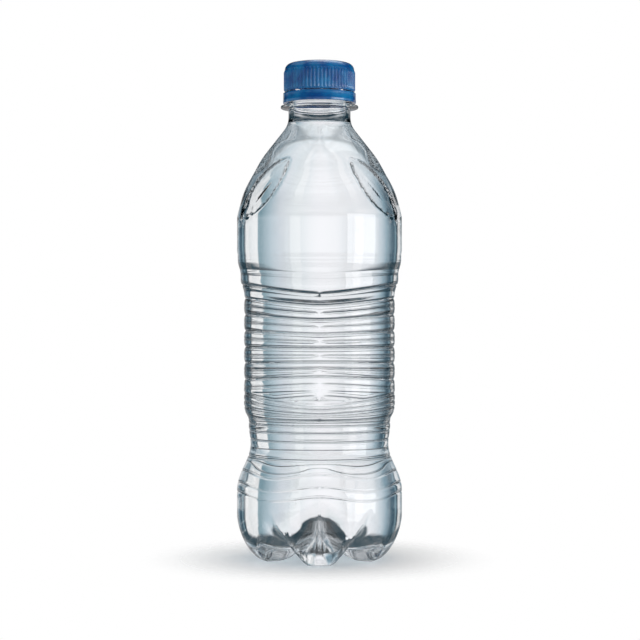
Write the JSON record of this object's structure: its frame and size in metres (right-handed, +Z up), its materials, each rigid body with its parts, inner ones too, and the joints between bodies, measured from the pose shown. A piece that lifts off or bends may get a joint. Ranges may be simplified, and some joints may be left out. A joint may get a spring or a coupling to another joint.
{
  "type": "plastic water bottle",
  "caption": "Clear blow-moulded drinking-water bottle, full and closed, with a ribbed body, five-footed base and blue screw cap on a tamper band.",
  "frame": {"origin": "centre of the base on the surface that the bottle stands on", "axes": "+Z up along the bottle's axis to the cap, -Y to the front foot and the mould parting line that faces the camera"},
  "size_m": [0.0674, 0.0676, 0.2033],
  "materials": {
    "clear_shell": "clear, glossy blow-moulded PET",
    "water": "clear still water",
    "blue_cap": "slightly translucent moulded plastic, satin gloss",
    "liner": "soft white sealing disc"
  },
  "bodies": {
    "bottle": {"bottle": "clear_shell", "water": "water", "tamper_band": "blue_cap"},
    "liner": {"cap_liner": "liner"},
    "cap": {"screw_cap": "blue_cap"}
  },
  "joints": [
    {"name": "cap_lift", "type": "slide", "parent": "bottle", "child": "liner", "axis": [0, 0, 1], "range_m": [0, 0.00473]},
    {"name": "cap_turn", "type": "hinge", "parent": "liner", "child": "cap", "pos_m": [0, 0, 0.197], "axis": [0, 0, 1], "range_deg": [0, 630]}
  ],
  "couplings": [
    {"joint": "cap_lift", "follows": "cap_turn", "m_per_rad": 0.00042972}
  ]
}
